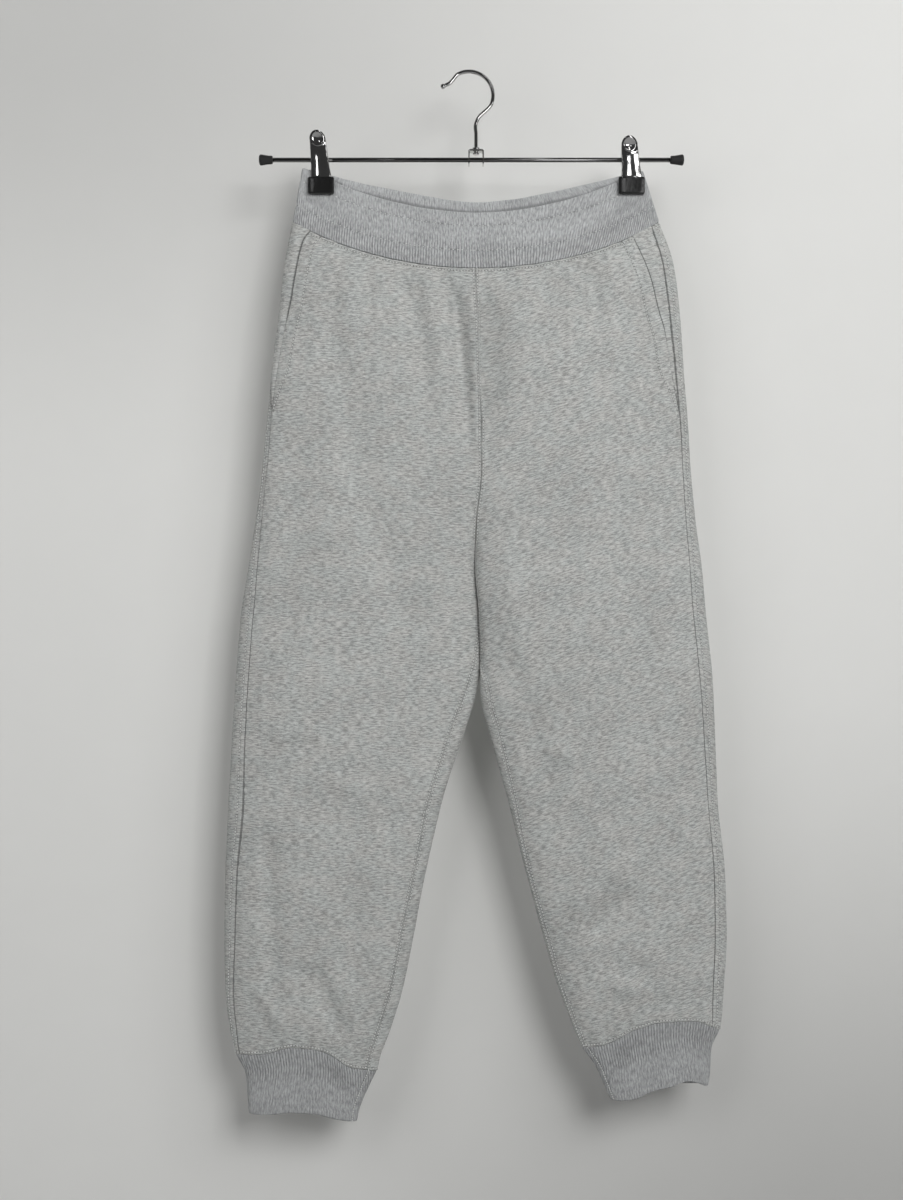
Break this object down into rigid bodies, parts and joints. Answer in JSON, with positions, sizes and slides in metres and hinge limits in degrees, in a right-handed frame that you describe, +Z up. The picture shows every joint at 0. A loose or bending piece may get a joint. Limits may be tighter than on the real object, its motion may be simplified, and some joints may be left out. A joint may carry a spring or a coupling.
{
  "type": "jogger sweatpants on a clip hanger",
  "caption": "Heather grey fleece jogger sweatpants with rib waistband, cuffs and slant pockets, hung by the waist from a chrome clip hanger.",
  "frame": {"origin": "inside top of the hanger's hook, where it hangs on a rail or peg", "axes": "+Z up, the garment's front faces -Y, the wearer's right leg is at -X"},
  "size_m": [0.5012, 0.0543, 1.0508],
  "materials": {
    "fleece": "heather grey brushed fleece",
    "rib": "heather grey rib knit",
    "chrome": "polished chrome plate",
    "rubber": "matte black rubber",
    "vinyl": "glossy black dipped vinyl"
  },
  "bodies": {
    "root": {"waistband": "rib", "front_right_leg": "fleece", "front_left_leg": "fleece", "back_right_leg": "fleece", "back_left_leg": "fleece", "pocket_facing_right": "fleece", "pocket_facing_left": "fleece", "cuff_right": "rib", "cuff_left": "rib", "hanger_rod": "chrome", "rod_tip_right": "rubber", "rod_tip_left": "rubber", "hanger_hook": "chrome", "hook_ferrule": "chrome", "hook_bracket": "chrome", "clip_right_front_jaw": "chrome", "clip_right_back_jaw": "chrome", "clip_right_front_sleeve": "vinyl", "clip_right_back_sleeve": "vinyl", "clip_right_spring": "chrome", "clip_left_front_jaw": "chrome", "clip_left_back_jaw": "chrome", "clip_left_front_sleeve": "vinyl", "clip_left_back_sleeve": "vinyl", "clip_left_spring": "chrome"}
  },
  "joints": []
}
